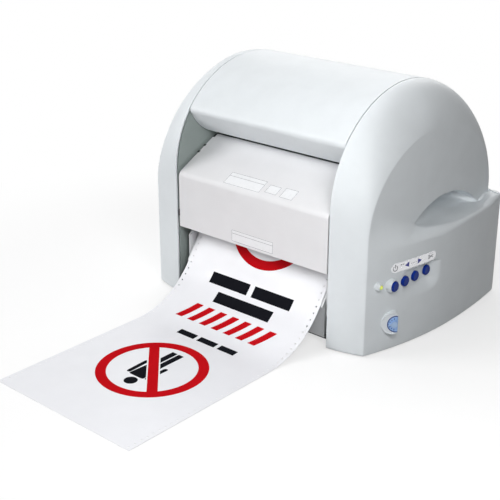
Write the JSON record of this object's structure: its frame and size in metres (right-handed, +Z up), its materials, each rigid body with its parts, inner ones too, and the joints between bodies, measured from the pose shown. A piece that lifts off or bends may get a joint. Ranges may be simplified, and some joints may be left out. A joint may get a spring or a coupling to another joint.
{
  "type": "label printer",
  "caption": "Desktop label printer and cutter: arched hood between rounded side covers, hinged front cover, side keys, sheet feed, cross carriage and a printed sheet run out.",
  "frame": {"origin": "on the table, at the middle of the footprint with the sheet run out", "axes": "+X to the right as the operator faces the sheet exit, +Y from the sheet's leading edge to the back, +Z up"},
  "size_m": [0.359, 0.546, 0.278],
  "materials": {
    "cover": "fine-grained light grey-white moulding",
    "panel": "smooth neutral white moulding",
    "frame": "grey-green satin moulding",
    "dark": "dark grey moulding",
    "tray": "dark grey paint on pressed sheet",
    "chute": "light grey moulding",
    "rubber": "matt black rubber",
    "steel": "ground bright steel",
    "key": "deep blue moulding",
    "lamp": "yellow-green lens",
    "scale": "light blue face",
    "knob": "pale blue moulding",
    "board": "green circuit board",
    "label": "white film on backing paper",
    "card": "kraft tube",
    "brass": "turned brass",
    "gear": "natural acetal",
    "motor": "satin can",
    "alloy": "extruded alloy",
    "cassette": "dark blue-black box"
  },
  "bodies": {
    "housing": {"base_tray": "tray", "rubber_feet": "rubber", "left_frame": "frame", "right_frame": "frame", "left_side_cover": "cover", "right_side_cover": "cover", "rear_cover": "cover", "exit_chute": "chute", "hood_hinge_pins": "steel", "front_hinge_pins": "steel", "control_bezel": "cover", "key_board": "board", "status_lamp": "lamp", "dial_plate": "scale", "left_roll_stand": "tray", "right_roll_stand": "tray", "feed_bushes": "brass", "feed_motor": "motor", "platen_bar": "alloy", "front_rail": "steel", "rear_rail": "steel", "carriage_belt": "rubber", "carriage_motor": "motor", "idler_bracket": "tray", "main_board": "board", "power_supply": "alloy", "power_inlet": "dark", "data_port": "steel", "sheet_web": "label", "printed_sheet": "label"},
    "hood": {"top_cover": "cover"},
    "front_door": {"front_cover": "panel"},
    "power_key": {"power_button": "key"},
    "reverse_key": {"reverse_button": "key"},
    "feed_key": {"feed_button": "key"},
    "cut_key": {"cut_button": "key"},
    "dial": {"dial_knob": "knob"},
    "roll": {"label_roll": "label", "roll_core": "card", "left_roll_flange": "dark", "right_roll_flange": "dark"},
    "feed_roller": {"feed_shaft": "steel", "feed_sleeve": "rubber", "feed_gear": "gear"},
    "pinch_roller": {"pinch_shaft": "steel", "pinch_rollers": "rubber"},
    "pinion": {"motor_pinion": "brass"},
    "carriage": {"carriage_frame": "dark", "print_head": "alloy", "ribbon_cassette": "cassette", "cutter_holder": "brass"},
    "blade": {"cutter_blade": "steel"},
    "drive_wheel": {"drive_pulley": "alloy"},
    "idler_wheel": {"idler_pulley": "alloy"}
  },
  "joints": [
    {"name": "hood_hinge", "type": "hinge", "parent": "housing", "child": "hood", "pos_m": [0, 0.244, 0.212], "axis": [-1, 0, 0], "range_deg": [0, 75]},
    {"name": "front_cover_hinge", "type": "hinge", "parent": "housing", "child": "front_door", "pos_m": [0, 0.073, 0.18231], "axis": [-1, 0, 0], "range_deg": [0, 40]},
    {"name": "power_press", "type": "slide", "parent": "housing", "child": "power_key", "axis": [-1, 0, 0], "range_m": [0, 0.002], "stiffness_N_per_m": 400},
    {"name": "reverse_press", "type": "slide", "parent": "housing", "child": "reverse_key", "axis": [-1, 0, 0], "range_m": [0, 0.002], "stiffness_N_per_m": 400},
    {"name": "feed_press", "type": "slide", "parent": "housing", "child": "feed_key", "axis": [-1, 0, 0], "range_m": [0, 0.002], "stiffness_N_per_m": 400},
    {"name": "cut_press", "type": "slide", "parent": "housing", "child": "cut_key", "axis": [-1, 0, 0], "range_m": [0, 0.002], "stiffness_N_per_m": 400},
    {"name": "dial_turn", "type": "hinge", "parent": "housing", "child": "dial", "pos_m": [0.17312, 0.04822, 0.036], "axis": [0.6947, -0.7193, 0], "range_deg": [-60, 60]},
    {"name": "roll_turn", "type": "hinge", "parent": "housing", "child": "roll", "pos_m": [0, 0.188, 0.092], "axis": [1, 0, 0], "continuous": true},
    {"name": "feed_turn", "type": "hinge", "parent": "housing", "child": "feed_roller", "pos_m": [0, 0.07058, 0.10673], "axis": [1, 0, 0], "continuous": true},
    {"name": "pinch_turn", "type": "hinge", "parent": "housing", "child": "pinch_roller", "pos_m": [0, 0.05839, 0.12623], "axis": [1, 0, 0], "continuous": true},
    {"name": "pinion_turn", "type": "hinge", "parent": "housing", "child": "pinion", "pos_m": [0, 0.08936, 0.07141], "axis": [1, 0, 0], "continuous": true},
    {"name": "carriage_slide", "type": "slide", "parent": "housing", "child": "carriage", "axis": [1, 0, 0], "range_m": [-0.15, 0]},
    {"name": "blade_swivel", "type": "hinge", "parent": "carriage", "child": "blade", "pos_m": [0.075, 0.08258, 0.168], "axis": [0, 0, 1], "continuous": true},
    {"name": "drive_wheel_turn", "type": "hinge", "parent": "housing", "child": "drive_wheel", "pos_m": [0.092, 0.16158, 0.168], "axis": [0, 1, 0], "continuous": true},
    {"name": "idler_wheel_turn", "type": "hinge", "parent": "housing", "child": "idler_wheel", "pos_m": [-0.092, 0.16158, 0.168], "axis": [0, 1, 0], "continuous": true}
  ],
  "couplings": [
    {"joint": "feed_turn", "follows": "roll_turn", "ratio": 3.2},
    {"joint": "pinch_turn", "follows": "roll_turn", "ratio": -6.8571},
    {"joint": "pinion_turn", "follows": "roll_turn", "ratio": -9.6},
    {"joint": "drive_wheel_turn", "follows": "carriage_slide", "rad_per_m": 129.03},
    {"joint": "idler_wheel_turn", "follows": "carriage_slide", "rad_per_m": 129.03}
  ]
}
